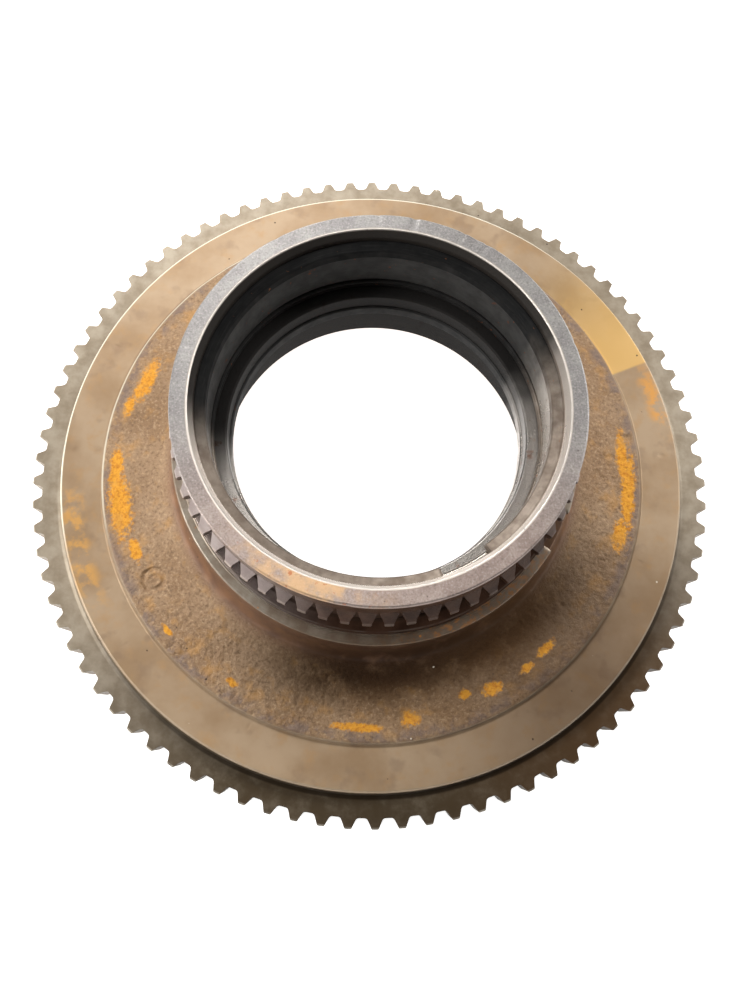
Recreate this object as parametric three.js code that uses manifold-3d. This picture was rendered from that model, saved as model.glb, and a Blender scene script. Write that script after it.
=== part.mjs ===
// Ring gear carrier of a planetary gear set: a forged web with a toothed rim, a tall hub with
// coupling teeth, two split rings and the lining of the bore. Millimetres, +Z up along the axis.
// The origin is on the axis, in the plane of the rim's underside.

import * as THREE from 'three';
import { mergeVertices } from 'three/addons/utils/BufferGeometryUtils.js';
import Module from 'manifold-3d';

const wasm = await Module();
wasm.setup();

// Heights that the rest is worked out from.
const RIM_FACE_Z = 16;
const ANNULUS_Z = 22.6;
const WEB_EDGE_Z = 24.7;
const NECK_TOP_Z = 53;
const LIP_TOP_Z = 57.8;
const TEETH_FOOT_Z = 77;
const COLLAR_TOP_Z = 98.9;
const BORE_FOOT_Z = 52.7;
const SHOULDER_Z = 65.7;
const HUB_FOOT_Z = 26;

// Toothed rim.
const RIM_TEETH = 86;
const RIM_TIP_RADIUS = 149;
const RIM_ROOT_RADIUS = 144.8;
const RIM_TIP_LAND = 2.9;
const RIM_ROOT_GAP = 3.9;
const RIM_TIP_CHAMFER = 0.8;
const RIM_TOOTH_PHASE = 0.45;
const RIM_INNER_RADIUS = 131;

// Annulus and web.
const ANNULUS_OUTER_RADIUS = 134.7;
const ANNULUS_INNER_RADIUS = 117;
const NECK_RADIUS = 80.2;
const NECK_BORE_RADIUS = 72.3;

// Coupling teeth and collar.
const HUB_TEETH = 62;
const COLLAR_FACE_RADIUS = 71.8;
const COLLAR_SIDE_RADIUS = 72.4;
const TEETH_RADIUS = 76;
const TEETH_SHOULDER_Z = 80;
const TEETH_TOP_Z = 86;
const GAP_FLOOR_RADIUS = 71.4;
const HUB_BODY_RADIUS = 70.8;
const GAP_PEAK_Z = 86.4;
const GAP_SHOULDER_Z = 81;
const GAP_WIDTH_TOP = 4.2;
const GAP_WIDTH_FOOT = 4.6;
const HUB_TOOTH_PHASE = 0.5;
const LIP_RADIUS = 76.4;

// Stepped bore.
const COLLAR_BORE_RADIUS = 66;
const SEAT_RADIUS = 64.6;
const LOWER_BORE_RADIUS = 57.3;
const BUSH_SEAT_RADIUS = 59.6;
const BUSH_SEAT_Z = 58.6;
const SPIGOT_RADIUS = 72;
const SPIGOT_BORE_RADIUS = 64;

// Pieces that lie in the hub, and the gap they keep to it.
const CLEARANCE = 0.3;
const STOP_RING = { inner: 72.4, outer: 80.5, height: 3.2, gapFrom: 333, gapTo: 345 };
const SNAP_RING = { inner: 61.1, outer: 66.5, height: 5.6, gapFrom: 295.5, gapTo: 312 };
const SNAP_GROOVE_RADIUS = 66.8;
const SNAP_RING_Z = 87.6;
const RACE_INNER_RADIUS = 62.5;
const SPACER_INNER_RADIUS = 61.9;
const SPACER_HEIGHT = 3.6;
const BUSH_INNER_RADIUS = 56.6;
const SMALL_CHAMFER = 0.4;
const LINING_SEGMENTS = 48;
const ARC_SEGMENTS = 40;

const degrees = THREE.MathUtils.degToRad;

function toSolid(geometry) {
  const bare = geometry.clone();
  bare.deleteAttribute('normal');
  bare.deleteAttribute('uv');
  const merged = mergeVertices(bare, 1e-4);
  return new wasm.Manifold(new wasm.Mesh({
    numProp: 3,
    vertProperties: merged.getAttribute('position').array,
    triVerts: Uint32Array.from(merged.index.array),
  }));
}

function toGeometry(solid) {
  const mesh = solid.getMesh();
  const geometry = new THREE.BufferGeometry();
  geometry.setAttribute('position', new THREE.BufferAttribute(mesh.vertProperties, 3));
  geometry.setIndex(new THREE.BufferAttribute(mesh.triVerts, 1));
  return geometry;
}

// A solid of revolution about Z. The outline is a list of [radius, z], counter-clockwise.
function turned(outline, segments, phase = 0) {
  const points = [...outline, outline[0]].map(([radius, z]) => new THREE.Vector2(radius, z));
  const geometry = new THREE.LatheGeometry(points, segments, degrees(phase + 90));
  return toSolid(geometry.rotateX(Math.PI / 2));
}

// Copies of one cutter at every gap between teeth, where a tooth is centred on the phase angle.
function aroundGaps(cutter, teeth, phase) {
  const pitch = 360 / teeth;
  const copies = [];
  for (let index = 0; index < teeth; index += 1) {
    const turn = degrees(phase + (index + 0.5) * pitch);
    copies.push(toSolid(cutter.clone().rotateZ(turn)));
  }
  return wasm.Manifold.union(copies);
}

function closedShape(points) {
  return new THREE.Shape(points.map(([x, y]) => new THREE.Vector2(x, y)));
}

// The space between two rim teeth, seen along Z: narrow at the root, wide past the tips.
function rimGapCutter() {
  const reach = RIM_TIP_RADIUS + 1.5;
  const pitchAtTip = (2 * Math.PI * RIM_TIP_RADIUS) / RIM_TEETH;
  const gapAtTip = pitchAtTip - RIM_TIP_LAND;
  const spread = (gapAtTip - RIM_ROOT_GAP) / (RIM_TIP_RADIUS - RIM_ROOT_RADIUS);
  const halfAtReach = (RIM_ROOT_GAP + spread * (reach - RIM_ROOT_RADIUS)) / 2;
  const halfAtRoot = RIM_ROOT_GAP / 2;
  const outline = closedShape([
    [RIM_ROOT_RADIUS, -halfAtRoot],
    [reach, -halfAtReach],
    [reach, halfAtReach],
    [RIM_ROOT_RADIUS, halfAtRoot],
  ]);
  const geometry = new THREE.ExtrudeGeometry(outline, { depth: RIM_FACE_Z + 2, bevelEnabled: false });
  return geometry.translate(0, 0, -1);
}

// The web with its rim and neck, before the rim teeth are cut.
function carrierOutline() {
  return [
    [NECK_BORE_RADIUS, 24],
    [80, 21],
    [95, 15.5],
    [116, 11.5],
    [126, 10.5],
    [RIM_INNER_RADIUS, 0],
    [RIM_TIP_RADIUS - RIM_TIP_CHAMFER, 0],
    [RIM_TIP_RADIUS, RIM_TIP_CHAMFER],
    [RIM_TIP_RADIUS, RIM_FACE_Z - RIM_TIP_CHAMFER],
    [RIM_TIP_RADIUS - RIM_TIP_CHAMFER, RIM_FACE_Z],
    [ANNULUS_OUTER_RADIUS + 3.2, RIM_FACE_Z],
    [ANNULUS_OUTER_RADIUS + 0.9, RIM_FACE_Z + 1.8],
    [ANNULUS_OUTER_RADIUS, ANNULUS_Z - 0.5],
    [ANNULUS_OUTER_RADIUS - 0.5, ANNULUS_Z],
    [ANNULUS_INNER_RADIUS + 0.6, ANNULUS_Z],
    [ANNULUS_INNER_RADIUS - 0.6, WEB_EDGE_Z - 0.4],
    [ANNULUS_INNER_RADIUS - 1.6, WEB_EDGE_Z],
    [94.7, 28.6],
    [88.5, 31.2],
    [84.5, 34.8],
    [82, 40],
    [80.8, 46],
    [NECK_RADIUS, NECK_TOP_Z - 0.5],
    [NECK_RADIUS - 0.5, NECK_TOP_Z],
    [NECK_BORE_RADIUS, NECK_TOP_Z],
  ];
}

function ringGearCarrier() {
  const pitch = 360 / RIM_TEETH;
  const blank = turned(carrierOutline(), RIM_TEETH, RIM_TOOTH_PHASE + pitch / 2);
  return toGeometry(blank.subtract(aroundGaps(rimGapCutter(), RIM_TEETH, RIM_TOOTH_PHASE)));
}

// The pocket between two coupling teeth: a house shape with its gable up, cut in radially.
function couplingGapCutter() {
  const foot = TEETH_FOOT_Z - 0.6;
  const outline = closedShape([
    [-GAP_WIDTH_FOOT / 2, foot],
    [GAP_WIDTH_FOOT / 2, foot],
    [GAP_WIDTH_TOP / 2, GAP_SHOULDER_Z],
    [0, GAP_PEAK_Z],
    [-GAP_WIDTH_TOP / 2, GAP_SHOULDER_Z],
  ]);
  const depth = TEETH_RADIUS - GAP_FLOOR_RADIUS + 2;
  const geometry = new THREE.ExtrudeGeometry(outline, { depth, bevelEnabled: false });
  // The shape's X, Y and depth become the tangent, Z and the radius.
  const basis = new THREE.Matrix4().makeBasis(
    new THREE.Vector3(0, 1, 0),
    new THREE.Vector3(0, 0, 1),
    new THREE.Vector3(1, 0, 0),
  );
  return geometry.applyMatrix4(basis).translate(GAP_FLOOR_RADIUS, 0, 0);
}

// The hub from the foot of its spigot, up the outside, across the collar and down the bore.
function hubOutline() {
  const stopGrooveTop = NECK_TOP_Z + STOP_RING.height + 2 * CLEARANCE;
  return [
    [SPIGOT_BORE_RADIUS, HUB_FOOT_Z],
    [SPIGOT_RADIUS - 0.8, HUB_FOOT_Z],
    [SPIGOT_RADIUS, HUB_FOOT_Z + 0.8],
    [SPIGOT_RADIUS, stopGrooveTop],
    [LIP_RADIUS, stopGrooveTop],
    [LIP_RADIUS, LIP_TOP_Z],
    [HUB_BODY_RADIUS, LIP_TOP_Z],
    [HUB_BODY_RADIUS, TEETH_FOOT_Z],
    [TEETH_RADIUS - 0.6, TEETH_FOOT_Z],
    [TEETH_RADIUS, TEETH_FOOT_Z + 0.8],
    [TEETH_RADIUS, TEETH_SHOULDER_Z],
    [COLLAR_SIDE_RADIUS, TEETH_TOP_Z],
    [COLLAR_SIDE_RADIUS - 0.1, COLLAR_TOP_Z - 0.5],
    [COLLAR_FACE_RADIUS, COLLAR_TOP_Z],
    [COLLAR_BORE_RADIUS, COLLAR_TOP_Z],
    [SEAT_RADIUS, COLLAR_TOP_Z - 3.2],
    [SEAT_RADIUS, SNAP_RING_Z + SNAP_RING.height + CLEARANCE],
    [SNAP_GROOVE_RADIUS, SNAP_RING_Z + SNAP_RING.height + CLEARANCE],
    [SNAP_GROOVE_RADIUS, SNAP_RING_Z - CLEARANCE],
    [SEAT_RADIUS, SNAP_RING_Z - CLEARANCE],
    [SEAT_RADIUS, SHOULDER_Z],
    [LOWER_BORE_RADIUS + 0.6, SHOULDER_Z],
    [LOWER_BORE_RADIUS, SHOULDER_Z - 0.6],
    [LOWER_BORE_RADIUS, BUSH_SEAT_Z],
    [BUSH_SEAT_RADIUS, BUSH_SEAT_Z],
    [BUSH_SEAT_RADIUS, BORE_FOOT_Z],
    [SPIGOT_BORE_RADIUS, BORE_FOOT_Z],
  ];
}

function couplingHub() {
  const pitch = 360 / HUB_TEETH;
  const blank = turned(hubOutline(), HUB_TEETH, HUB_TOOTH_PHASE + pitch / 2);
  return toGeometry(blank.subtract(aroundGaps(couplingGapCutter(), HUB_TEETH, HUB_TOOTH_PHASE)));
}

// A flat ring with a gap in it, lying on the plane z.
function splitRing({ inner, outer, height, gapFrom, gapTo }, z) {
  const outline = new THREE.Shape();
  outline.absarc(0, 0, outer, degrees(gapTo), degrees(gapFrom + 360), false);
  outline.absarc(0, 0, inner, degrees(gapFrom + 360), degrees(gapTo), true);
  const options = { depth: height, bevelEnabled: false, curveSegments: ARC_SEGMENTS };
  const geometry = new THREE.ExtrudeGeometry(outline, options);
  return geometry.translate(0, 0, z);
}

// A plain ring with a small chamfer on both inner edges.
function liningRing(inner, outer, low, high) {
  const solid = turned([
    [inner + SMALL_CHAMFER, low],
    [outer, low],
    [outer, high],
    [inner + SMALL_CHAMFER, high],
    [inner, high - SMALL_CHAMFER],
    [inner, low + SMALL_CHAMFER],
  ], LINING_SEGMENTS);
  return toGeometry(solid);
}

function bearingRace() {
  const low = SHOULDER_Z + SPACER_HEIGHT + 2 * CLEARANCE;
  const high = SNAP_RING_Z - 2 * CLEARANCE;
  return liningRing(RACE_INNER_RADIUS, SEAT_RADIUS - CLEARANCE, low, high);
}

function raceSpacer() {
  const low = SHOULDER_Z + CLEARANCE;
  return liningRing(SPACER_INNER_RADIUS, SEAT_RADIUS - CLEARANCE, low, low + SPACER_HEIGHT);
}

function boreBush() {
  const outer = BUSH_SEAT_RADIUS - CLEARANCE;
  return liningRing(BUSH_INNER_RADIUS, outer, BORE_FOOT_Z, BUSH_SEAT_Z - CLEARANCE);
}

function part(name, geometry, color, roughness, metalness) {
  const material = new THREE.MeshStandardMaterial({ color, roughness, metalness });
  const mesh = new THREE.Mesh(geometry, material);
  mesh.name = name;
  return mesh;
}

const stopRing = splitRing(STOP_RING, NECK_TOP_Z + CLEARANCE);
const snapRing = splitRing(SNAP_RING, SNAP_RING_Z);

const model = new THREE.Group();
model.add(
  part('ring_gear_carrier', ringGearCarrier(), 0x7a6a55, 0.7, 0.6),
  part('coupling_hub', couplingHub(), 0x7d7577, 0.45, 0.9),
  part('stop_ring', stopRing, 0x8c8678, 0.4, 0.9),
  part('snap_ring', snapRing, 0x9a948c, 0.35, 0.9),
  part('bearing_race', bearingRace(), 0x5e666b, 0.25, 1.0),
  part('race_spacer', raceSpacer(), 0x6d6862, 0.4, 0.9),
  part('bore_bush', boreBush(), 0x4f575c, 0.3, 1.0),
);

export default model;
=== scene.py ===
"""Looks of the ring gear carrier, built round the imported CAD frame. Lengths here are millimetres
until they reach a mesh. The axis of the part is Z, and azimuths are degrees from +X towards +Y."""

import math

import bpy
import numpy as np
from mathutils import Matrix, Vector


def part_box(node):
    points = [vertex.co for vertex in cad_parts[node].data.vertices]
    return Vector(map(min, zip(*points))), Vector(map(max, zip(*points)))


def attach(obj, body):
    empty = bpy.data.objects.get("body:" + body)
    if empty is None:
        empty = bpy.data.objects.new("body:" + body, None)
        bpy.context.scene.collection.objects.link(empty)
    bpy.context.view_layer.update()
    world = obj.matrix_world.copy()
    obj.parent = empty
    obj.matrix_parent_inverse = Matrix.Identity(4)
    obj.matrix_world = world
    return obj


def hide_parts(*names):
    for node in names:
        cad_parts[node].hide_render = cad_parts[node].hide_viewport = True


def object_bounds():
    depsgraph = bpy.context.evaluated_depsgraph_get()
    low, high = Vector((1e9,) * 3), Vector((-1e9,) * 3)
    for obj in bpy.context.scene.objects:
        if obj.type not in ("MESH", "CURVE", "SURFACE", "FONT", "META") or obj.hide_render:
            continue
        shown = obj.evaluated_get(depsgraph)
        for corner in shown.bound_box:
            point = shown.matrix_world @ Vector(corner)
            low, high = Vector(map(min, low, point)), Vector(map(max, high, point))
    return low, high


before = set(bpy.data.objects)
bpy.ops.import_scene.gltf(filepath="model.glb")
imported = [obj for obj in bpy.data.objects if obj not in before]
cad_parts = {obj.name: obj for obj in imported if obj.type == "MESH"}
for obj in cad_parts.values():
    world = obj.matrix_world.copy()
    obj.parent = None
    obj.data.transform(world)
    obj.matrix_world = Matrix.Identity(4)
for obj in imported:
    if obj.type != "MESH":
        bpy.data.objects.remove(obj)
CAD_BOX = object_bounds()

MM = 0.001


def reach(node):
    """Outer radius, lowest and highest z of a CAD node, in millimetres."""
    low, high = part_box(node)
    return max(high.x, high.y, -low.x, -low.y) / MM, low.z / MM, high.z / MM


TIP_R, RIM_FOOT_Z, NECK_TOP_Z = reach("ring_gear_carrier")
HUB_R, HUB_FOOT_Z, COLLAR_TOP_Z = reach("coupling_hub")
STOP_R, STOP_LOW_Z, STOP_TOP_Z = reach("stop_ring")
SNAP_R, SNAP_LOW_Z, SNAP_TOP_Z = reach("snap_ring")
RACE_R, RACE_LOW_Z, RACE_TOP_Z = reach("bearing_race")
SPACER_R, SPACER_LOW_Z, SPACER_TOP_Z = reach("race_spacer")
BUSH_R, BUSH_LOW_Z, BUSH_TOP_Z = reach("bore_bush")

# Carrier.
RIM_TEETH = 86
RIM_PHASE = 0.45
RIM_FACE_Z = RIM_FOOT_Z + 16
ANNULUS_Z = RIM_FOOT_Z + 22.6
TIP_CHAMFER = 0.8
ROOT_R = TIP_R - 4.2
STEP_R = 134.7
CAST_EDGE_R = 115.4
WEB_SPACING = 0.6
ANNULUS_SPACING = 1.0
UNDERSIDE_SPACING = 1.5

# Half a rim tooth: distance from its middle line, and how far below the tip circle.
TOOTH_HALF = [
    (0.0, 0.0), (0.5, 0.0), (0.95, 0.0), (1.2, 0.03), (1.38, 0.14), (1.55, 0.42), (1.85, 1.1),
    (2.3, 2.1), (2.72, 3.05), (3.05, 3.65), (3.45, 4.02), (3.95, 4.18), (4.55, 4.2),
]

# Coupling teeth.
HUB_TEETH = 62
HUB_PHASE = 0.5
COLLAR_FACE_R = 71.8
COLLAR_SIDE_R = 72.4
TEETH_R = 76.0
TEETH_FOOT_Z = HUB_FOOT_Z + 51
TEETH_SHOULDER_Z = HUB_FOOT_Z + 54
TEETH_TOP_Z = HUB_FOOT_Z + 60
GAP_FLOOR_R = 71.4
HUB_BODY_R = 70.8
GAP_SHOULDER_Z = HUB_FOOT_Z + 55
GAP_PEAK_Z = HUB_FOOT_Z + 60.4
GAP_FOOT_HALF = 2.3
GAP_SHOULDER_HALF = 2.1
LEAST_HALF = 0.06

# Split rings, azimuths of their gaps.
STOP_GAP = (333.0, 345.0)
SNAP_GAP = (295.5, 312.0)
RING_STEP = 0.75

TURN = 2 * math.pi


# ---------------------------------------------------------------- outlines and grids

def smoothstep(values, low, high):
    t = np.clip((values - low) / (high - low), 0, 1)
    return t * t * (3 - 2 * t)


def corner(before, at, after, radius, steps=3):
    """The points that round one corner of an outline, with one more on each side to keep flats flat."""
    a = np.array(before) - at
    b = np.array(after) - at
    reach_a, reach_b = np.linalg.norm(a), np.linalg.norm(b)
    a, b = a / reach_a, b / reach_b
    if np.dot(a, b) < -0.97:
        return [np.array(at)]
    cut = min(radius, 0.3 * reach_a, 0.3 * reach_b)
    start, end = at + a * cut, at + b * cut
    points = [at + a * cut * 1.3]
    for i in range(steps + 1):
        t = i / steps
        points.append((1 - t) ** 2 * start + 2 * t * (1 - t) * np.array(at) + t * t * end)
    points.append(at + b * cut * 1.3)
    return points


def rounded(outline, radius=0.3):
    """A closed outline with each corner rounded."""
    count = len(outline)
    points = []
    for i in range(count):
        before, at, after = outline[i - 1], outline[i], outline[(i + 1) % count]
        points += corner(before, np.array(at, float), after, radius)
    return np.array(points)


def subdivided(points, spacing_at):
    """A closed outline with long segments cut to the spacing wanted at their middle."""
    result = []
    for i, start in enumerate(points):
        end = points[(i + 1) % len(points)]
        spacing = spacing_at((start + end) / 2)
        pieces = max(1, int(np.linalg.norm(end - start) / spacing))
        for k in range(pieces):
            result.append(start + (end - start) * k / pieces)
    return np.array(result)


def through(points, spacing=1.0):
    """An open smooth curve through the points."""
    points = [np.array(p, float) for p in points]
    padded = [2 * points[0] - points[1], *points, 2 * points[-1] - points[-2]]
    result = []
    for a, b, c, d in zip(padded, padded[1:], padded[2:], padded[3:]):
        pieces = max(1, int(np.linalg.norm(c - b) / spacing))
        for k in range(pieces):
            t = k / pieces
            result.append(0.5 * (2 * b + (c - a) * t + (2 * a - 5 * b + 4 * c - d) * t * t
                                 + (3 * b - a - 3 * c + d) * t ** 3))
    return result + [points[-1]]


def outward(outline):
    """Unit normals of a closed counter-clockwise outline."""
    along = np.roll(outline, -1, 0) - np.roll(outline, 1, 0)
    normals = np.stack([along[:, 1], -along[:, 0]], 1)
    return normals / np.maximum(np.linalg.norm(normals, axis=1, keepdims=True), 1e-9)


def polar(radius, angle, z):
    """Grid points in metres from radius, angle and height in millimetres."""
    radius, angle, z = np.broadcast_arrays(radius, angle, z)
    return np.stack([radius * np.cos(angle), radius * np.sin(angle), z], -1) * MM


def grid_quads(rows, cols, ring):
    index = np.arange(rows * cols).reshape(rows, cols)
    right = np.roll(index, -1, 1)
    quads = np.stack([index, right, np.roll(right, -1, 0), np.roll(index, -1, 0)], -1)
    if not ring:
        quads = quads[:, :-1]
    return quads.reshape(-1, 4).tolist()


def grid_object(name, points, ring=True):
    """A mesh from a grid whose rows close on themselves; an open one gets an end face at each end."""
    rows, cols = points.shape[:2]
    faces = grid_quads(rows, cols, ring)
    if not ring:
        faces.append([r * cols for r in range(rows)])
        faces.append([r * cols + cols - 1 for r in reversed(range(rows))])
    mesh = bpy.data.meshes.new(name)
    mesh.from_pydata(points.reshape(-1, 3).tolist(), [], faces)
    mesh.validate()
    mesh.shade_smooth()
    mesh.set_sharp_from_angle(angle=math.radians(34))
    piece = bpy.data.objects.new(name, mesh)
    bpy.context.scene.collection.objects.link(piece)
    return piece


def value_noise(points, size, seed):
    """Smooth random values between -1 and 1, with features of about this size in millimetres."""
    table = np.random.RandomState(seed).uniform(-1, 1, (64, 64, 64))
    p = points / (size * MM)
    cell = np.floor(p).astype(int)
    t = p - cell
    t = t * t * (3 - 2 * t)
    total = 0.0
    for dx in (0, 1):
        for dy in (0, 1):
            for dz in (0, 1):
                weight = 1.0
                for axis, d in enumerate((dx, dy, dz)):
                    weight = weight * (t[..., axis] if d else 1 - t[..., axis])
                i, j, k = (cell[..., 0] + dx) % 64, (cell[..., 1] + dy) % 64, (cell[..., 2] + dz) % 64
                total = total + weight * table[i, j, k]
    return total


# ---------------------------------------------------------------- ring gear carrier

def carrier_outline():
    """The closed outline of the web with its rim and neck, with tooth rows still at the tip circle."""
    underside = through([(80, 21), (95, 15.5), (116, 11.5), (126, 10.5)], 2)
    web = through([(CAST_EDGE_R, 24.7), (94.7, 28.6), (88.5, 31.2), (84.5, 34.8), (82, 40),
                   (80.8, 46), (80.3, 52)], 0.8)
    corners = [(72.3, 24)] + underside + [
        (131, RIM_FOOT_Z), (TIP_R, RIM_FOOT_Z), (TIP_R, RIM_FACE_Z), (STEP_R + 3.2, RIM_FACE_Z),
        (STEP_R + 1.6, RIM_FACE_Z + 0.6), (STEP_R + 0.6, RIM_FACE_Z + 2.2), (STEP_R, ANNULUS_Z - 0.7),
        (STEP_R - 0.7, ANNULUS_Z), (CAST_EDGE_R + 2.2, ANNULUS_Z), (CAST_EDGE_R + 1.4, ANNULUS_Z + 0.7),
        (CAST_EDGE_R + 0.9, ANNULUS_Z + 1.7),
    ] + web + [(79.8, NECK_TOP_Z), (72.3, NECK_TOP_Z)]
    return rounded([tuple(p) for p in corners], 0.35)


def carrier_spacing(point):
    r, z = point
    if r > STEP_R + 3 or r < 74:
        return 4.0
    if z > RIM_FACE_Z + 5:
        return WEB_SPACING if r < CAST_EDGE_R else ANNULUS_SPACING
    return UNDERSIDE_SPACING


def tooth_columns():
    """Azimuth of each column, and how far its tooth outline lies below the tip circle."""
    half_pitch = math.pi / RIM_TEETH
    half = [(s / (TIP_R - d), d) for s, d in TOOTH_HALF]
    one = [(-a, d) for a, d in reversed(half[1:])] + half
    angles, depths = [], []
    for tooth in range(RIM_TEETH):
        middle = math.radians(RIM_PHASE) + 2 * half_pitch * tooth
        for a, d in one:
            angles.append(middle + a)
            depths.append(d)
    return np.array(angles), np.array(depths)


def rim_rows(outline, depths):
    """Radius of each grid point: rows on the rim's outside and by its edges follow the teeth."""
    r, z = outline[:, 0], outline[:, 1]
    radius = np.repeat(r[:, None], len(depths), 1)
    on_rim = r > ROOT_R - 1.0
    edge = np.minimum(z - RIM_FOOT_Z, RIM_FACE_Z - z)
    tip_limit = TIP_R - np.clip(TIP_CHAMFER - edge, 0, TIP_CHAMFER)
    inset = np.clip(0.35 - edge, 0, 0.35)
    followed = TIP_R - depths[None, :] - inset[:, None] - (TIP_R - r)[:, None] * 0
    followed = np.minimum(followed, tip_limit[:, None])
    radius[on_rim] = followed[on_rim]
    return radius


def rim_outline_rows():
    """(radius, z) rows from the rim's underside round its tips to its top face, at the tip circle."""
    rows = []
    for z, r in ((0.0, 0.0), (0.08, 0.0), (0.3, 0.0), (0.75, 0.0), (0.95, 0.0), (8.0, 0.0)):
        rows.append((TIP_R - r, RIM_FOOT_Z + z))
    rows += [(r, RIM_FOOT_Z + RIM_FACE_Z - z) for r, z in reversed(rows[:-1])]
    return rows


def with_rim_rows(outline):
    """The outline with its two tip corners swapped for the rows that the teeth need."""
    at_tip = outline[:, 0] > ROOT_R - 2.3
    first = int(np.argmax(at_tip))
    last = len(outline) - int(np.argmax(at_tip[::-1]))
    before = [(ROOT_R - 2.2, RIM_FOOT_Z)]
    after = [(ROOT_R - 2.2, RIM_FACE_Z)]
    middle = np.array(before + rim_outline_rows() + after)
    return np.concatenate([outline[:first], middle, outline[last:]])


def web_relief(outline, angles):
    """Displacement along the normal, in millimetres: forged scale on the web, small waves elsewhere."""
    r, z = outline[:, 0][:, None], outline[:, 1][:, None]
    top = z > ANNULUS_Z - 0.2
    rough = smoothstep(r, 84, 92) * (1 - smoothstep(r, CAST_EDGE_R - 0.3, CAST_EDGE_R + 0.8)) * top
    under = smoothstep(r, 78, 84) * (1 - smoothstep(r, 122, 126)) * (z < ANNULUS_Z - 0.2)
    points = polar(r, angles[None, :], z)
    grain = 0.24 * value_noise(points, 2.1, 1) + 0.13 * value_noise(points, 1.2, 2)
    lumps = 0.1 * value_noise(points, 6.0, 3) + 0.12 * value_noise(points, 17.0, 4)
    edge_wander = 0.25 * value_noise(points, 9.0, 5) * np.exp(-((r - CAST_EDGE_R - 0.6) / 1.4) ** 2) * top
    return (grain + lumps) * rough + (grain + lumps) * under + edge_wander


def web_marks(points, surface):
    """Dents in the web: a round forging mark and some pits. surface is true where they may fall."""
    x, y = points[..., 0] / MM, points[..., 1] / MM
    relief = np.zeros(x.shape)
    centre_r, azimuth = 104.0, math.radians(216)
    away = np.hypot(x - centre_r * math.cos(azimuth), y - centre_r * math.sin(azimuth))
    relief -= 0.75 * (1 - smoothstep(away, 4.7, 5.5))
    relief += 0.7 * np.exp(-((away - 2.7) / 0.7) ** 2)
    relief += 0.3 * np.exp(-(away / 0.8) ** 2)
    for r, azimuth, width, depth in WEB_PITS:
        a = math.radians(azimuth)
        away = np.hypot(x - r * math.cos(a), y - r * math.sin(a))
        relief -= depth * np.exp(-(away / width) ** 2)
    return relief * surface


WEB_PITS = [
    (99.0, 328, 1.0, 0.8), (112.5, 230, 0.9, 0.5), (100.5, 231, 0.7, 0.35), (98.0, 172, 0.9, 0.3),
    (96.5, 169, 0.8, 0.3), (104.0, 3, 0.7, 0.35), (108.5, 4, 0.7, 0.35), (91.5, 262, 0.7, 0.3),
    (127.0, 224, 0.8, 0.25), (123.0, 213, 0.7, 0.25), (129.5, 282, 0.7, 0.2), (121.5, 346, 0.7, 0.25),
    (125.0, 52, 0.7, 0.25), (127.5, 9, 0.8, 0.2), (120.5, 252, 0.7, 0.2), (131.0, 298, 0.7, 0.2),
    (128.0, 161, 0.7, 0.2), (119.5, 118, 0.7, 0.2),
]


def ring_gear_carrier():
    outline = with_rim_rows(subdivided(carrier_outline(), carrier_spacing))
    angles, depths = tooth_columns()
    radius = rim_rows(outline, depths)
    relief = web_relief(outline, angles)
    z = np.repeat(outline[:, 1][:, None], len(angles), 1)
    on_top = (outline[:, 1] > RIM_FACE_Z + 4)[:, None] & (outline[:, 0] > 86)[:, None]
    relief = relief + web_marks(polar(radius, angles[None, :], z), on_top)
    normals = outward(outline)
    radius = radius + relief * normals[:, :1]
    z = z + relief * normals[:, 1:]
    return grid_object("ring_gear_carrier_visual", polar(radius, angles[None, :], z))


# ---------------------------------------------------------------- coupling hub

def hub_outline():
    """The closed outline of the hub, at the crests of its coupling teeth."""
    return [
        (64, HUB_FOOT_Z), (71.2, HUB_FOOT_Z), (72, HUB_FOOT_Z + 0.8), (72, 56.85), (HUB_R, 56.85),
        (HUB_R, 57.8), (HUB_BODY_R, 57.8), (HUB_BODY_R, TEETH_FOOT_Z), (TEETH_R - 0.6, TEETH_FOOT_Z),
        (TEETH_R, TEETH_FOOT_Z + 0.8), (TEETH_R, TEETH_SHOULDER_Z), (COLLAR_SIDE_R, TEETH_TOP_Z),
        (COLLAR_SIDE_R - 0.1, COLLAR_TOP_Z - 0.5), (COLLAR_FACE_R, COLLAR_TOP_Z), (66, COLLAR_TOP_Z),
        (64.6, COLLAR_TOP_Z - 3.2), (64.6, SNAP_TOP_Z + 0.3), (66.8, SNAP_TOP_Z + 0.3),
        (66.8, SNAP_LOW_Z - 0.3), (64.6, SNAP_LOW_Z - 0.3), (64.6, 65.7), (57.9, 65.7), (57.3, 65.1),
        (57.3, 58.6), (59.6, 58.6), (59.6, BUSH_LOW_Z), (64, BUSH_LOW_Z),
    ]


def hub_rows():
    """The outline's points, with more rows up the teeth and by the roof of each gap."""
    roof = [78.6, TEETH_SHOULDER_Z, GAP_SHOULDER_Z - 0.1, GAP_SHOULDER_Z, *np.arange(82, 86, 0.5),
            GAP_PEAK_Z - 0.2, GAP_PEAK_Z - 0.05, 88.5, 93.0]
    rows = []
    outline = rounded(hub_outline(), 0.28)
    for i, point in enumerate(outline):
        rows.append(tuple(point))
        after = outline[(i + 1) % len(outline)]
        rise = after[1] - point[1]
        if point[0] > COLLAR_FACE_R and rise > 0.1:
            slope = (after[0] - point[0]) / rise
            rows += [(point[0] + slope * (z - point[1]), z) for z in roof if point[1] < z < after[1]]
    return np.array(rows)


def gap_half_width(z):
    """Half the width of a coupling gap at height z."""
    straight = np.interp(z, [TEETH_FOOT_Z, GAP_SHOULDER_Z], [GAP_FOOT_HALF, GAP_SHOULDER_HALF])
    gable = np.interp(z, [GAP_SHOULDER_Z, GAP_PEAK_Z], [GAP_SHOULDER_HALF, LEAST_HALF])
    return np.maximum(np.where(z < GAP_SHOULDER_Z, straight, gable), LEAST_HALF)


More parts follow.
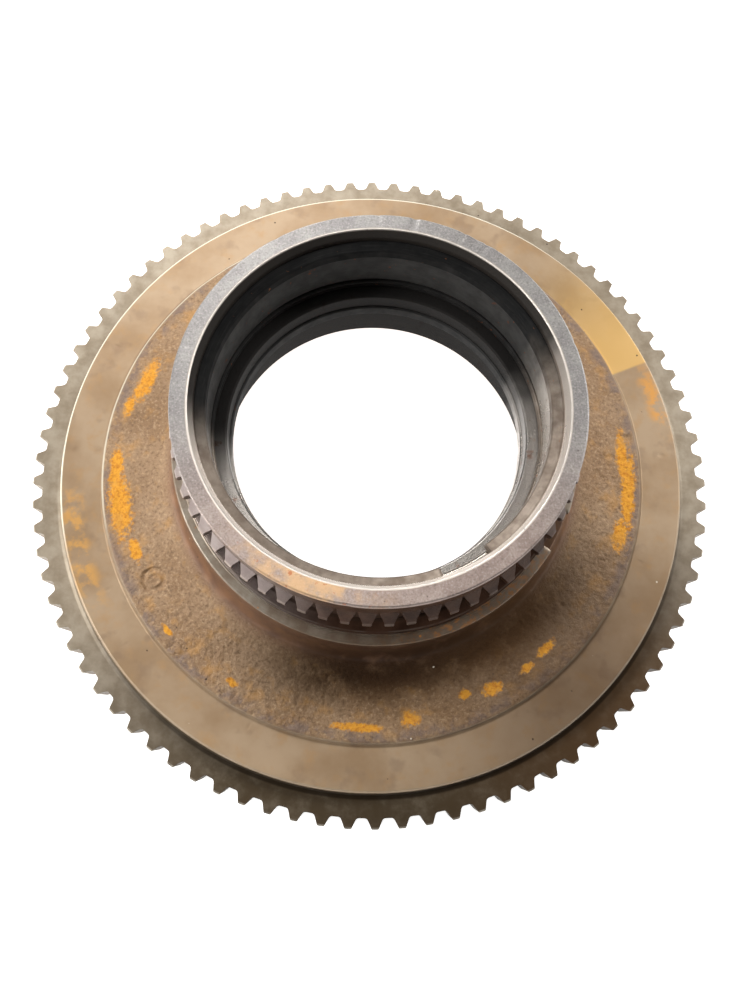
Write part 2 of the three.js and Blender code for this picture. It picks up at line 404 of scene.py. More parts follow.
def gap_columns(rows):
    """Azimuth offsets and depth shares of the columns over one pitch, for each row."""
    half_pitch = math.pi * TEETH_R / HUB_TEETH
    w = gap_half_width(rows[:, 1])
    soft = np.minimum(0.28, 0.3 * w)
    bevel = np.minimum(0.22, 0.5 * w)
    land = half_pitch - w - bevel
    offsets = [0 * w, 0.6 * w, w - soft, w - 0.25 * soft, w, w + bevel]
    offsets += [w + bevel + land * share for share in (0.12, 0.45, 0.8, 1.0)]
    shares = [1.0, 1.0, 1.0, 0.9, 0.06, 0.0, 0.0, 0.0, 0.0, 0.0]
    left = [-o for o in reversed(offsets[1:-1])]
    all_offsets = np.stack(left + offsets, 1) / TEETH_R
    all_shares = np.array(list(reversed(shares[1:-1])) + shares)
    return all_offsets, all_shares


def collar_nicks(radius, angles, z):
    """Small dents on the outer edge of the collar."""
    push = np.zeros(radius.shape)
    near_edge = smoothstep(radius, 69.5, 71.5) * smoothstep(z, 95.5, 98.0)
    for azimuth, width, depth in COLLAR_NICKS:
        away = np.abs((np.degrees(angles) - azimuth + 180) % 360 - 180)
        push += depth * np.exp(-(away / width) ** 2)
    return push * near_edge


COLLAR_NICKS = [(86, 1.0, 0.45), (67, 2.2, 0.35), (63.5, 0.8, 0.4), (71, 0.9, 0.3), (97, 0.8, 0.3),
                (171, 0.8, 0.25), (24, 0.7, 0.25), (128, 0.9, 0.2), (233, 1.2, 0.2), (268, 0.9, 0.2)]


def coupling_hub():
    rows = hub_rows()
    offsets, shares = gap_columns(rows)
    pitch = TURN / HUB_TEETH
    middles = math.radians(HUB_PHASE) + pitch * (np.arange(HUB_TEETH) + 0.5)
    angles = (middles[None, :, None] + offsets[:, None, :]).reshape(len(rows), -1)
    share = np.tile(shares, HUB_TEETH)[None, :]
    r, z = rows[:, 0][:, None], rows[:, 1][:, None]
    cut = (z > TEETH_FOOT_Z - 0.01) & (z < GAP_PEAK_Z - 0.1) & (r > GAP_FLOOR_R)
    radius = np.where(cut, r + (GAP_FLOOR_R - r) * share, r + 0 * share)
    z = z + 0 * radius
    radius = radius - 0.7 * collar_nicks(radius, angles, z)
    z = z - 0.6 * collar_nicks(radius, angles, z)
    return grid_object("coupling_hub_visual", polar(radius, angles, z))


# ---------------------------------------------------------------- rings and linings

def split_ring(name, outline, gap, radius=0.2, wave=0.0):
    """A ring of this outline, open over the gap, with the edges of its ends taken off."""
    rows = rounded(outline, radius)
    middle = rows.mean(0)
    start, end = math.radians(gap[1]), math.radians(gap[0]) + TURN
    end_bevel = 0.3 / middle[0]
    count = int((end - start) / math.radians(RING_STEP))
    angles = np.concatenate([[start], np.linspace(start + end_bevel, end - end_bevel, count), [end]])
    shrink = np.ones(len(angles))
    shrink[[0, -1]] = 0.0
    inset = middle + (rows - middle) * (1 - 0.25 / np.abs(rows - middle).max(0))
    radial = inset[:, :1] + (rows - inset)[:, :1] * shrink[None, :]
    z = inset[:, 1:] + (rows - inset)[:, 1:] * shrink[None, :]
    z = z - wave * (0.5 + 0.5 * np.sin(2 * angles + 0.8))[None, :]
    return grid_object(name, polar(radial, angles[None, :], z), ring=False)


def stop_ring():
    """A flat ring whose top falls slightly to its outer edge, with a shallow worn step by the hub."""
    low, top = STOP_LOW_Z, STOP_TOP_Z
    outline = [(72.4, low), (STOP_R - 0.5, low), (STOP_R, low + 0.4), (STOP_R, top - 1.0),
               (STOP_R - 0.5, top - 0.55), (77.2, top - 0.28), (76.9, top), (72.4, top)]
    return split_ring("stop_ring_visual", outline, STOP_GAP, 0.16)


def snap_ring():
    low, top = SNAP_LOW_Z, SNAP_TOP_Z
    outline = [(61.1, low + 0.5), (61.6, low), (SNAP_R, low), (SNAP_R, top), (64.4, top),
               (61.5, top - 1.1), (61.1, top - 1.6)]
    return split_ring("snap_ring_visual", outline, SNAP_GAP, 0.22)


def lining(name, outline, columns=360):
    """A closed ring of this outline."""
    rows = rounded(outline, 0.15)
    angles = np.arange(columns) * TURN / columns
    return grid_object(name, polar(rows[:, :1], angles[None, :], rows[:, 1:]))


def bearing_race():
    low, top = RACE_LOW_Z, RACE_TOP_Z
    return lining("bearing_race_visual", [
        (62.5, low + 0.9), (63.1, low), (RACE_R, low), (RACE_R, top), (63.3, top), (62.5, top - 1.0)])


def race_spacer():
    low, top = SPACER_LOW_Z, SPACER_TOP_Z
    return lining("race_spacer_visual", [
        (61.9, low + 0.4), (62.2, low), (SPACER_R, low), (SPACER_R, top), (62.4, top),
        (61.9, top - 0.45), (61.9, top - 1.3), (62.3, top - 1.6), (62.3, low + 1.6), (61.9, low + 1.3)])


def bore_bush():
    low, top = BUSH_LOW_Z, BUSH_TOP_Z
    return lining("bore_bush_visual", [
        (56.6, low + 0.7), (57.2, low), (BUSH_R, low), (BUSH_R, top), (57.1, top), (56.6, top - 0.6)])


# ---------------------------------------------------------------- shader building

class Shader:
    """Builds one node material on the row frame's coordinates."""

    def __init__(self, name):
        self.material = bpy.data.materials.new(name)
        self.material.use_nodes = True
        self.tree = self.material.node_tree
        self.surface = self.tree.nodes["Principled BSDF"]
        self.coords = self.add("ShaderNodeTexCoord").outputs["Object"]
        self.flat = self.add("ShaderNodeVectorMath", {0: self.coords, 1: (1, 1, 0)}, operation="MULTIPLY")
        self.flat = self.flat.outputs[0]
        length = self.add("ShaderNodeVectorMath", {0: self.flat}, operation="LENGTH")
        self.radius = length.outputs["Value"]
        parts = self.add("ShaderNodeSeparateXYZ", {0: self.coords})
        self.x, self.y, self.z = parts.outputs[:3]
        self.azimuth = self.math("ARCTAN2", self.y, self.x)

    def add(self, kind, values=None, **settings):
        node = self.tree.nodes.new(kind)
        for key, value in settings.items():
            setattr(node, key, value)
        for key, value in (values or {}).items():
            if isinstance(value, bpy.types.NodeSocket):
                self.tree.links.new(value, node.inputs[key])
            else:
                node.inputs[key].default_value = value
        return node

    def math(self, operation, a, b=0.0, clamp=False):
        node = self.add("ShaderNodeMath", {0: a, 1: b}, operation=operation, use_clamp=clamp)
        return node.outputs[0]

    def times(self, a, b):
        return self.math("MULTIPLY", a, b)

    def plus(self, a, b):
        return self.math("ADD", a, b, clamp=True)

    def inverse(self, a):
        return self.math("SUBTRACT", 1.0, a)

    def step(self, value, low, high, to_low=0.0, to_high=1.0):
        """Smooth step from to_low to to_high as value goes from low to high."""
        flip = low > high
        if flip:
            low, high, to_low, to_high = high, low, to_high, to_low
        node = self.add("ShaderNodeMapRange", {"Value": value, "From Min": low, "From Max": high,
                                               "To Min": to_low, "To Max": to_high},
                        interpolation_type="SMOOTHSTEP")
        return node.outputs[0]

    def band(self, value, low, high, soft):
        """1 between low and high, fading over soft at both ends."""
        return self.times(self.step(value, low - soft, low + soft), self.step(value, high + soft, high - soft))

    def noise(self, size, detail=3.0, rough=0.55, stretch=None, shift=0.0):
        """Noise between 0 and 1 with features of this size in millimetres."""
        vector = self.coords
        if stretch or shift:
            vector = self.add("ShaderNodeMapping", {"Vector": vector, "Location": (shift, shift, shift),
                                                    "Scale": stretch or (1, 1, 1)}).outputs[0]
        node = self.add("ShaderNodeTexNoise", {"Vector": vector, "Scale": 1 / (size * MM), "Detail": detail,
                                               "Roughness": rough})
        return node.outputs[0]

    def turning(self, spacing, axis=None):
        """Fine lines round the axis, uneven, between 0 and 1."""
        value = self.radius if axis is None else axis
        vector = self.add("ShaderNodeCombineXYZ", {0: value, 1: 0.0, 2: self.times(self.azimuth, 0.002)})
        node = self.add("ShaderNodeTexNoise", {"Vector": vector.outputs[0], "Scale": 1 / (spacing * MM),
                                               "Detail": 2.0, "Roughness": 0.6})
        return node.outputs[0]

    def dots(self, spacing, size, seed):
        """Sparse small spots, 1 at their middle."""
        vector = self.add("ShaderNodeMapping", {"Vector": self.coords, "Location": (seed, seed, seed)})
        node = self.add("ShaderNodeTexVoronoi", {"Vector": vector.outputs[0], "Scale": 1 / (spacing * MM)})
        return self.step(node.outputs["Distance"], size * 1.4, size * 0.6)

    def spot(self, radius, azimuth, half_r, half_t, ragged=0.35, hard=0.35):
        """A ragged patch at this radius and azimuth, half_r by half_t millimetres."""
        turn = math.radians(azimuth)
        centre = (radius * math.cos(turn) * MM, radius * math.sin(turn) * MM, 0)
        local = self.add("ShaderNodeMapping", {"Vector": self.flat, "Location": centre,
                                               "Rotation": (0, 0, turn),
                                               "Scale": (half_r * MM, half_t * MM, 1)},
                         vector_type="TEXTURE")
        away = self.add("ShaderNodeVectorMath", {0: local.outputs[0]}, operation="LENGTH").outputs["Value"]
        rag = self.math("SUBTRACT", self.noise(2.4, 4.0, 0.7), 0.5)
        away = self.math("ADD", away, self.times(rag, ragged * 6))
        return self.step(away, 1 + hard, 1 - hard)

    def blend(self, mask, low, high, kind="MIX"):
        node = self.add("ShaderNodeMix", {0: mask, 6: low, 7: high}, data_type="RGBA", blend_type=kind)
        return node.outputs[2]

    def bump(self, height, strength, distance, normal=None):
        values = {"Height": height, "Strength": strength, "Distance": distance * MM}
        if normal is not None:
            values["Normal"] = normal
        return self.add("ShaderNodeBump", values).outputs[0]

    def finish(self, color, roughness, metallic, normal, specular=0.5, **constants):
        for key, value in (("Base Color", color), ("Roughness", roughness), ("Metallic", metallic),
                           ("Normal", normal), ("Specular IOR Level", specular)):
            if isinstance(value, bpy.types.NodeSocket):
                self.tree.links.new(value, self.surface.inputs[key])
            elif value is not None:
                self.surface.inputs[key].default_value = value
        for key, value in constants.items():
            self.surface.inputs[key.replace("_", " ").title()].default_value = value
        return self.material


def rgb(red, green, blue):
    """A colour given as 0 to 255 display values."""
    return tuple(((c / 255 + 0.055) / 1.055) ** 2.4 if c > 10 else c / 255 / 12.92
                 for c in (red, green, blue)) + (1.0,)


# ---------------------------------------------------------------- materials

RUST_SPOTS = [
    (109.0, 197, 4.6, 14.0), (110.0, 188, 3.0, 8.0), (106.5, 166, 3.4, 9.5), (109.5, 173, 2.2, 4.5),
    (110.5, 0, 3.0, 17.0), (108.5, 8, 2.6, 12.0), (109.0, 350, 3.0, 7.0), (105.5, 318, 2.0, 4.5),
    (106.5, 312, 1.6, 3.0), (106.0, 303, 2.6, 4.0), (103.5, 297, 1.8, 2.5), (107.5, 284, 2.8, 3.6),
    (110.0, 273, 1.6, 9.0), (108.5, 245, 1.4, 2.4), (106.5, 208, 2.4, 5.0), (110.5, 227, 1.2, 3.0),
]


def carrier_material():
    s = Shader("oily_forged_steel")
    top = s.step(s.z, (RIM_FACE_Z - 3) * MM, (RIM_FACE_Z - 0.5) * MM)
    web = s.times(s.band(s.radius, 85.5 * MM, (CAST_EDGE_R + 0.6) * MM, 1.2 * MM), top)
    neck = s.step(s.z, 30 * MM, 35 * MM)
    below = s.step(s.z, (RIM_FACE_Z - 2.0) * MM, (RIM_FACE_Z - 6.0) * MM)
    annulus = s.band(s.radius, (CAST_EDGE_R + 1.2) * MM, STEP_R * MM, 0.4 * MM)
    rim = s.step(s.radius, (STEP_R + 0.4) * MM, (STEP_R + 1.6) * MM)

    cloud, mottle, grain = s.noise(26, 4), s.noise(7, 5, 0.6), s.noise(1.3, 4, 0.65)
    machined = s.blend(s.step(cloud, 0.35, 0.7), rgb(180, 156, 128), rgb(160, 132, 100))
    machined = s.blend(s.times(s.step(mottle, 0.5, 0.78), 0.6), machined, rgb(180, 142, 96))
    machined = s.blend(s.times(s.step(s.noise(11, 3, 0.5, shift=0.4), 0.56, 0.7), 0.35), machined,
                       rgb(128, 104, 84))
    scale = s.blend(s.step(cloud, 0.3, 0.7), rgb(172, 142, 110), rgb(148, 116, 82))
    scale = s.blend(s.times(s.step(grain, 0.5, 0.68), 0.5), scale, rgb(98, 72, 50))
    scale = s.blend(s.times(s.step(grain, 0.46, 0.34), 0.4), scale, rgb(214, 184, 148))
    scale = s.blend(s.times(s.step(mottle, 0.52, 0.72), 0.45), scale, rgb(196, 146, 78))
    collar = s.blend(s.step(mottle, 0.3, 0.7), rgb(150, 112, 84), rgb(122, 92, 74))
    rim_oil = s.blend(s.step(mottle, 0.3, 0.75), rgb(172, 160, 142), rgb(142, 128, 108))

    color = s.blend(web, machined, scale)
    color = s.blend(rim, color, rim_oil)
    color = s.blend(neck, color, collar)
    color = s.blend(s.times(below, 0.55), color, rgb(120, 100, 82))

    grease = s.times(s.band(s.radius, 111.5 * MM, 116.5 * MM, 2.2 * MM), s.step(mottle, 0.42, 0.6))
    color = s.blend(s.times(grease, 0.6), color, rgb(112, 102, 104))
    varnish = s.times(s.times(s.step(s.azimuth, math.radians(28.3), math.radians(28.9)),
                              s.step(s.azimuth, math.radians(62), math.radians(32))), annulus)
    color = s.blend(s.times(varnish, 0.8), color, rgb(232, 188, 112))
    stain = s.times(s.band(s.azimuth, math.radians(14), math.radians(27), math.radians(4)),
                    s.band(s.radius, 127 * MM, 134 * MM, 3 * MM))
    color = s.blend(s.times(s.times(stain, s.step(mottle, 0.4, 0.6)), 0.8), color, rgb(226, 160, 70))
    left = s.times(s.band(s.azimuth, math.radians(-168), math.radians(-146), math.radians(5)),
                   s.band(s.radius, 125 * MM, 134 * MM, 2.5 * MM))
    color = s.blend(s.times(s.times(left, s.step(mottle, 0.42, 0.62)), 0.7), color, rgb(222, 166, 84))

    rust = None
    for spot in RUST_SPOTS:
        one = s.spot(*spot)
        rust = one if rust is None else s.math("MAXIMUM", rust, one)
    rust = s.times(rust, web)
    rust_color = s.blend(s.step(grain, 0.4, 0.75), rgb(244, 172, 46), rgb(206, 124, 30))
    color = s.blend(s.times(rust, 0.92), color, rust_color)
    halo = s.times(s.times(s.band(s.radius, 102 * MM, 113 * MM, 4 * MM), web), s.step(s.noise(9, 4), 0.5, 0.68))
    color = s.blend(s.times(halo, 0.45), color, rgb(206, 152, 78))

    front = s.band(s.azimuth, math.radians(-128), math.radians(-16), math.radians(26))
    ragged = s.step(s.noise(14, 4, 0.6, shift=0.27), 0.25, 0.55)
    # Dark lubricant and painted shade on the rim at the front, the side away from the lights; it stays dark from
    # every side.
    rim_lubricant_and_shade = s.times(s.times(rim, front), s.step(mottle, 0.1, 0.6, 0.8, 1.0))
    color = s.blend(s.times(rim_lubricant_and_shade, 0.9), color, rgb(58, 46, 30))
    # Painted shade of the hub on the web at the front, partly dark lubricant.
    shade = s.times(s.times(s.band(s.azimuth, math.radians(-112), math.radians(-26), math.radians(20)),
                            s.step(s.radius, 113 * MM, 90 * MM)), s.step(ragged, 0.0, 1.0, 0.75, 1.0))
    shade = s.times(shade, s.step(s.z, 56 * MM, 28 * MM, 0.75, 1.0))
    color = s.blend(s.times(s.times(shade, s.inverse(below)), 0.96), color, rgb(44, 27, 15))
    # Painted shade over the top faces at the front right.
    front_right_shade = s.times(s.band(s.azimuth, math.radians(-62), math.radians(-20), math.radians(18)),
                   s.times(top, s.inverse(rust)))
    color = s.blend(s.times(front_right_shade, 0.62), color, rgb(84, 60, 38))

    # Bright lines on the annulus edges: painted highlights, strongest on the back side towards the lights.
    edge_highlight = s.plus(s.band(s.radius, (STEP_R - 0.9) * MM, (STEP_R + 0.1) * MM, 0.25 * MM),
                  s.times(s.band(s.radius, (CAST_EDGE_R + 0.5) * MM, (CAST_EDGE_R + 1.6) * MM, 0.3 * MM), 0.8))
    edge_highlight = s.times(edge_highlight, s.step(s.z, (ANNULUS_Z - 1.4) * MM, (ANNULUS_Z - 0.7) * MM))
    back = s.math("MAXIMUM", s.step(s.azimuth, math.radians(40), math.radians(80)),
                  s.step(s.azimuth, math.radians(-150), math.radians(-172)))
    color = s.blend(s.times(edge_highlight, s.step(back, 0.0, 1.0, 0.12, 0.95)), color, rgb(250, 244, 224))
    # Painted shadow along the foot of the step at the front.
    step_foot_shadow = s.times(s.band(s.radius, (STEP_R + 0.3) * MM, (STEP_R + 3.0) * MM, 0.5 * MM), front)
    color = s.blend(s.times(step_foot_shadow, 0.8), color, rgb(34, 26, 18))
    tips = s.times(s.step(s.radius, (TIP_R - 1.1) * MM, (TIP_R - 0.3) * MM), s.step(mottle, 0.35, 0.6))
    color = s.blend(s.times(tips, 0.6), color, rgb(206, 198, 182))

    pits = s.times(s.dots(11, 0.035, 0.7), top)
    specks = s.times(s.dots(17, 0.022, 0.3), top)
    color = s.blend(s.times(pits, 0.85), color, rgb(52, 38, 30))
    color = s.blend(s.times(specks, 0.8), color, rgb(240, 232, 214))

    fine = s.bump(s.noise(0.55, 3, 0.6), 0.25, 0.08)
    rough_bump = s.bump(s.times(s.noise(1.3, 5, 0.65), web), 0.9, 0.6, fine)
    lines = s.bump(s.times(s.turning(0.22), s.inverse(web)), 0.22, 0.05, rough_bump)
    hollow = s.bump(s.inverse(pits), 0.6, 0.3, lines)

    gloss = s.blend(web, (0.52,) * 3 + (1,), (0.6,) * 3 + (1,))
    gloss = s.blend(s.times(s.step(cloud, 0.4, 0.65), 0.5), gloss, (0.44,) * 3 + (1,))
    gloss = s.blend(rust, gloss, (0.85,) * 3 + (1,))
    gloss = s.blend(neck, gloss, (0.36,) * 3 + (1,))
    # Metal and specular level drop under the painted shade and the rim's dark lubricant.
    metal = s.times(s.inverse(rust), s.times(s.step(web, 1.0, 0.0, 0.1, 0.34), s.inverse(s.math("MAXIMUM", shade, rim_lubricant_and_shade))))
    shine = s.step(s.math("MAXIMUM", shade, rim_lubricant_and_shade), 0.0, 1.0, 0.5, 0.06)
    return s.finish(color, s.math("ADD", gloss, 0.0), metal, hollow, shine)


def hub_material():
    s = Shader("mauve_hub_steel")
    mottle, grain = s.noise(8, 5, 0.6), s.noise(0.7, 3, 0.6)
    face = s.step(s.z, (COLLAR_TOP_Z - 2.4) * MM, (COLLAR_TOP_Z - 1.6) * MM)
    bore = s.step(s.radius, 66.9 * MM, 66.3 * MM)
    front = s.band(s.azimuth, math.radians(-150), math.radians(-20), math.radians(25))
    grey = s.blend(s.step(mottle, 0.3, 0.72), rgb(160, 158, 156), rgb(142, 139, 139))
    mauve = s.blend(s.step(mottle, 0.3, 0.72), rgb(176, 160, 153), rgb(152, 135, 128))
    base = s.blend(front, grey, mauve)
    base = s.blend(s.times(s.step(grain, 0.52, 0.7), 0.4), base, rgb(204, 196, 192))
    base = s.blend(s.times(s.step(grain, 0.48, 0.32), 0.4), base, rgb(104, 96, 94))
    south = s.times(s.band(s.azimuth, math.radians(-124), math.radians(-86), math.radians(12)), face)
    # A brassy tint on the front of the collar face, lightened as a painted highlight.
    brassy_tint_and_highlight = s.times(south, s.step(mottle, 0.38, 0.66))
    base = s.blend(s.times(brassy_tint_and_highlight, 0.75), base, rgb(232, 192, 146))
    rust = s.times(s.times(south, s.step(s.noise(2.6, 4, 0.65, shift=0.2), 0.6, 0.68)), 0.8)
    base = s.blend(rust, base, rgb(190, 108, 60))
    side = s.blend(s.step(mottle, 0.3, 0.7), rgb(150, 138, 134), rgb(128, 114, 110))
    # The outer sides are painted dark brown at the front as painted shade, on the side away from the lights.
    flank = s.blend(s.step(mottle, 0.3, 0.7), rgb(78, 56, 44), rgb(56, 38, 29))
    shaded_front = s.band(s.azimuth, math.radians(-112), math.radians(-14), math.radians(20))
    flank = s.blend(shaded_front, side, flank)
    base = s.blend(s.inverse(face), base, flank)
    # Painted shade in the gaps between the coupling teeth and on the hub below them.
    gap_shade = s.step(s.radius, (COLLAR_SIDE_R - 0.1) * MM, (GAP_FLOOR_R + 0.1) * MM)
    gap_shade = s.times(gap_shade, s.step(s.z, (GAP_PEAK_Z + 0.3) * MM, (GAP_PEAK_Z - 0.1) * MM))
    base = s.blend(s.times(gap_shade, 0.85), base, rgb(58, 44, 36))
    worn = s.times(s.band(s.radius, (TEETH_R - 0.5) * MM, TEETH_R * MM, 0.25 * MM), s.step(mottle, 0.3, 0.6))
    base = s.blend(s.times(worn, s.step(shaded_front, 0.0, 1.0, 0.6, 0.15)), base, rgb(206, 190, 176))
    inner = s.blend(s.step(s.z, 88 * MM, 96 * MM), rgb(150, 146, 142), rgb(206, 190, 176))
    inner = s.blend(s.times(s.step(s.noise(5, 4, 0.6, stretch=(1, 1, 0.25)), 0.6, 0.72), 0.7), inner,
                    rgb(112, 66, 40))
    base = s.blend(bore, base, inner)
    chamfer = s.times(bore, s.step(s.z, 95.4 * MM, 95.9 * MM))
    base = s.blend(s.times(chamfer, 0.9), base, rgb(236, 226, 216))
    lip = s.band(s.radius, 65.9 * MM, 66.5 * MM, 0.15 * MM)
    base = s.blend(s.times(s.times(lip, face), 0.7), base, rgb(222, 216, 210))
    # Dark lubricant and painted shade on the bore's half away from the light's side.
    coat_and_shade = s.times(bore_coat_and_shade(s), s.times(bore, s.inverse(lip)))
    base = s.blend(s.times(coat_and_shade, 0.96), base, rgb(24, 23, 23))
    dirt = s.times(s.times(s.dots(6, 0.05, 0.9), face), 0.6)
    base = s.blend(dirt, base, rgb(92, 80, 76))

    sand = s.bump(grain, 0.6, 0.18)
    lines = s.bump(s.times(s.turning(0.35, s.z), s.inverse(face)), 0.3, 0.06, sand)
    rough = s.step(face, 0.0, 1.0, 0.36, 0.46)
    rough = s.math("ADD", s.math("SUBTRACT", rough, s.times(bore, 0.1)), s.times(coat_and_shade, 0.25))
    # Metal and specular level drop under that painted shade and on the shaded front.
    dull = s.math("MAXIMUM", coat_and_shade, s.times(shaded_front, s.inverse(s.math("MAXIMUM", face, bore))))
    metal = s.times(s.step(rust, 0.0, 0.8, 0.72, 0.2), s.inverse(s.times(dull, 0.95)))
    return s.finish(base, rough, metal, lines, s.step(dull, 0.0, 1.0, 0.5, 0.05))


def bore_coat_and_shade(s):
    """A dark lubricant coat and painted shade on the walls of the bore, on the half that faces away from the
    light's side.
    """
    edge = s.times(s.math("SUBTRACT", s.noise(14, 2, 0.5, stretch=(1, 1, 0.25), shift=0.33), 0.5), 0.5)
    azimuth = s.math("ADD", s.azimuth, edge)
    left = s.step(s.azimuth, math.radians(-176), math.radians(-150), 1.0, 0.0)
    return s.math("MAXIMUM", s.step(azimuth, math.radians(-4), math.radians(34)), left)


def ring_material(name, pale, dark, rusty, roughness, metallic, rust_share, line_axis=None):
    """Steel for a ring or a lining: turned lines, cloudy tone, some rust, and a dark lubricant coat with painted
    shade on the half of the bore away from the light's side.
    """
    s = Shader(name)
    mottle, grain = s.noise(5, 5, 0.6), s.noise(0.8, 4, 0.6)
    base = s.blend(s.step(mottle, 0.3, 0.7), pale, dark)
    axis = s.z if line_axis == "z" else s.radius
    lines = s.turning(0.3, axis)
    base = s.blend(s.times(s.step(lines, 0.45, 0.75), 0.35), base, dark)
    spots = s.times(s.step(s.noise(3.2, 5, 0.68, shift=0.11), 0.68 - rust_share * 0.2,
                           0.76 - rust_share * 0.2), 0.8)
    # Dark lubricant and painted shade on the half of the bore away from the light's side.
    coat_and_shade = bore_coat_and_shade(s)
    base = s.blend(s.times(coat_and_shade, 0.96), base, s.blend(s.step(lines, 0.5, 0.7), rgb(20, 24, 27), rgb(36, 38, 40)))
    base = s.blend(spots, base, rusty)
    normal = s.bump(lines, 0.25, 0.06, s.bump(grain, 0.2, 0.06))
    rough = s.plus(s.step(mottle, 0.3, 0.75, roughness - 0.06, roughness + 0.08), s.times(spots, 0.3))
    rough = s.plus(rough, s.times(coat_and_shade, 0.25))
    metal = s.times(s.step(spots, 0.0, 0.8, metallic, 0.2), s.inverse(s.times(coat_and_shade, 0.95)))
    return s.finish(base, rough, metal, normal, s.step(coat_and_shade, 0.0, 1.0, 0.5, 0.05))


def stop_ring_material():
    s = Shader("dull_stop_ring")
    mottle, grain = s.noise(6, 5, 0.6), s.noise(0.8, 4, 0.6)
    base = s.blend(s.step(mottle, 0.3, 0.7), rgb(172, 162, 148), rgb(140, 124, 108))
    lines = s.turning(0.25)
    base = s.blend(s.times(s.step(lines, 0.5, 0.8), 0.4), base, rgb(110, 94, 80))
    low_right = s.band(s.azimuth, math.radians(-75), math.radians(-30), math.radians(14))
    rust = s.times(s.step(s.noise(2.2, 5, 0.7), 0.47, 0.6), low_right)
    base = s.blend(s.times(rust, 0.85), base, rgb(198, 128, 52))
    # Painted shade on the front of the ring, the side away from the lights.
    stop_front_shade = s.times(s.band(s.azimuth, math.radians(-108), math.radians(-25), math.radians(20)), 0.62)
    base = s.blend(stop_front_shade, base, rgb(92, 68, 46))
    rare = s.times(s.dots(9, 0.05, 0.2), 0.8)
    base = s.blend(rare, base, rgb(206, 132, 62))
    normal = s.bump(lines, 0.25, 0.06, s.bump(grain, 0.25, 0.08))
    rough = s.plus(s.step(mottle, 0.3, 0.75, 0.36, 0.48), s.times(rust, 0.3))
    metal = s.step(rust, 0.0, 1.0, 0.6, 0.15)
    return s.finish(base, rough, metal, normal, coat_weight=0.1, coat_roughness=0.3)


def floor_material():
    material = bpy.data.materials.new("pale_floor")
    material.use_nodes = True
    surface = material.node_tree.nodes["Principled BSDF"]
    surface.inputs["Base Color"].default_value = (0.93, 0.93, 0.93, 1)
    surface.inputs["Roughness"].default_value = 0.9
    surface.inputs["Specular IOR Level"].default_value = 0.1
    surface.inputs["Emission Color"].default_value = (1, 1, 1, 1)
    surface.inputs["Emission Strength"].default_value = FLOOR_GLOW
    return material


# ---------------------------------------------------------------- scene

def place(piece, node, body, material):
    piece.data.materials.append(material)
    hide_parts(node)
    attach(piece, body)


def build_object():
    place(ring_gear_carrier(), "ring_gear_carrier", "carrier", carrier_material())
    place(coupling_hub(), "coupling_hub", "carrier", hub_material())
    place(stop_ring(), "stop_ring", "stop_ring_body", stop_ring_material())
    place(snap_ring(), "snap_ring", "snap_ring_body", ring_material(
        "spring_steel_ring", rgb(146, 134, 122), rgb(112, 98, 86), rgb(140, 92, 60), 0.5, 0.4, 0.1))
    place(bearing_race(), "bearing_race", "carrier", ring_material(
        "bluish_ground_steel", rgb(232, 224, 214), rgb(200, 190, 180), rgb(112, 62, 38), 0.24, 0.9, 0.25, "z"))
    place(race_spacer(), "race_spacer", "carrier", ring_material(
        "brown_spacer_steel", rgb(176, 164, 152), rgb(140, 126, 114), rgb(112, 66, 40), 0.3, 0.85, 0.3, "z"))
    place(bore_bush(), "bore_bush", "carrier", ring_material(
        "dark_bush_steel", rgb(226, 220, 214), rgb(190, 184, 178), rgb(96, 58, 40), 0.28, 0.9, 0.15, "z"))


FLOOR_DROP = 0.0002
FLOOR_GLOW = 0.95
FLOOR_HALF = 4.0


def build_floor():
    z = CAD_BOX[0].z - FLOOR_DROP
    corners = [(-FLOOR_HALF, -FLOOR_HALF, z), (FLOOR_HALF, -FLOOR_HALF, z),
               (FLOOR_HALF, FLOOR_HALF, z), (-FLOOR_HALF, FLOOR_HALF, z)]
    mesh = bpy.data.meshes.new("floor")
    mesh.from_pydata(corners, [], [(0, 1, 2, 3)])
    floor = bpy.data.objects.new("floor", mesh)
    floor.data.materials.append(floor_material())
    bpy.context.scene.collection.objects.link(floor)


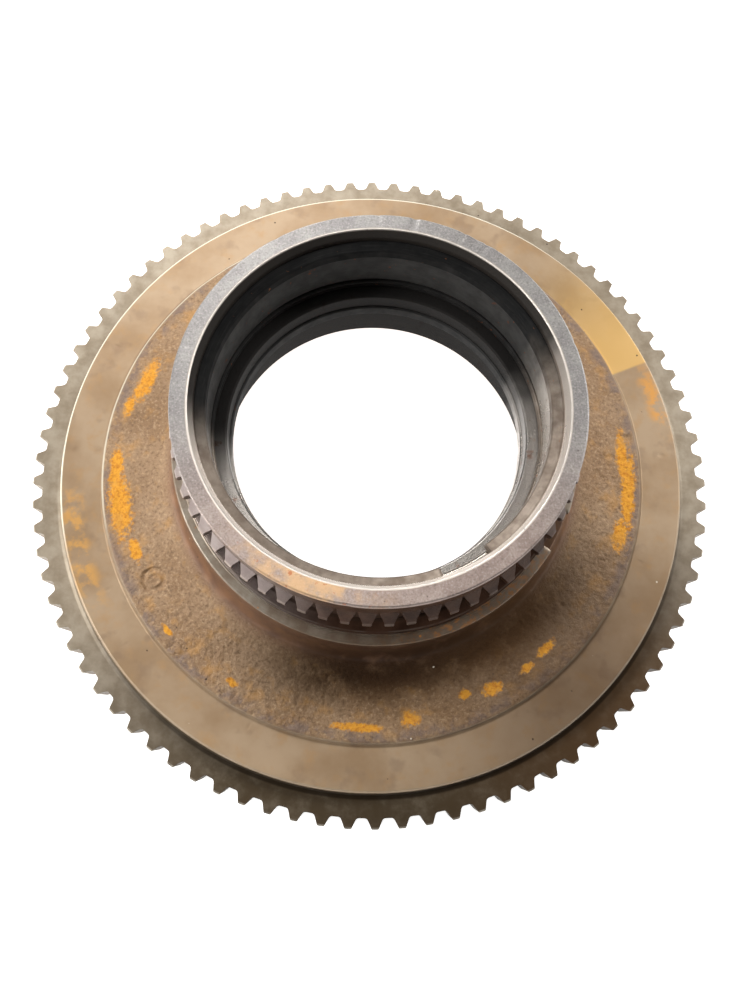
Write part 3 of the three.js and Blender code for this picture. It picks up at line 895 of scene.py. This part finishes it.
def area_light(name, place_at, aim_at, size, power, color=(1, 1, 1)):
    data = bpy.data.lights.new(name, "AREA")
    data.shape = "DISK"
    data.size = size
    data.energy = power
    data.color = color
    light = bpy.data.objects.new(name, data)
    light.location = place_at
    light.rotation_mode = "QUATERNION"
    light.rotation_quaternion = (Vector(aim_at) - Vector(place_at)).to_track_quat("-Z", "Y")
    bpy.context.scene.collection.objects.link(light)


def build_light():
    area_light("key", (-0.45, 1.0, 0.9), (0, 0, 0.03), 0.6, 12, (1, 0.985, 0.96))
    area_light("left", (-0.95, -0.3, 0.62), (0, 0, 0.03), 0.3, 9, (1, 0.98, 0.95))
    area_light("right", (0.9, 0.55, 0.75), (0, 0, 0.03), 0.4, 8.5, (1, 0.98, 0.95))
    area_light("above", (-0.1, 0.12, 1.1), (0, 0, 0.03), 0.32, 2.0, (1, 0.97, 0.93))
    world = bpy.data.worlds.new("pale_world")
    world.use_nodes = True
    world.node_tree.nodes["Background"].inputs["Color"].default_value = (1, 0.99, 0.97, 1)
    world.node_tree.nodes["Background"].inputs["Strength"].default_value = 0.06
    bpy.context.scene.world = world


CAMERA_LENS = 28.58
CAMERA_SENSOR = 36.0
CAMERA_TURN = math.radians(-6.66)
CAMERA_TILT = math.radians(-15.36)
CAMERA_SHIFT = Vector((-0.0005, 0.01515, -0.3460))


def build_camera():
    """Looks down into the hub from 0.35 m, aimed by the height of the annulus."""
    data = bpy.data.cameras.new("camera")
    data.lens = CAMERA_LENS
    data.sensor_width = CAMERA_SENSOR
    data.clip_start = 0.01
    camera = bpy.data.objects.new("camera", data)
    bpy.context.scene.collection.objects.link(camera)
    turn = Matrix.Rotation(CAMERA_TURN, 4, "Z") @ Matrix.Rotation(CAMERA_TILT, 4, "X")
    to_camera = Matrix.Translation(CAMERA_SHIFT) @ turn
    camera.matrix_world = Matrix.Translation((0, 0, ANNULUS_Z * MM)) @ to_camera.inverted()
    bpy.context.scene.camera = camera


def corners(box):
    return [[round(c, 6) for c in corner] for corner in box]


build_object()
build_floor()
build_light()
build_camera()
bpy.context.scene.view_settings.view_transform = "Standard"
bpy.context.view_layer.update()
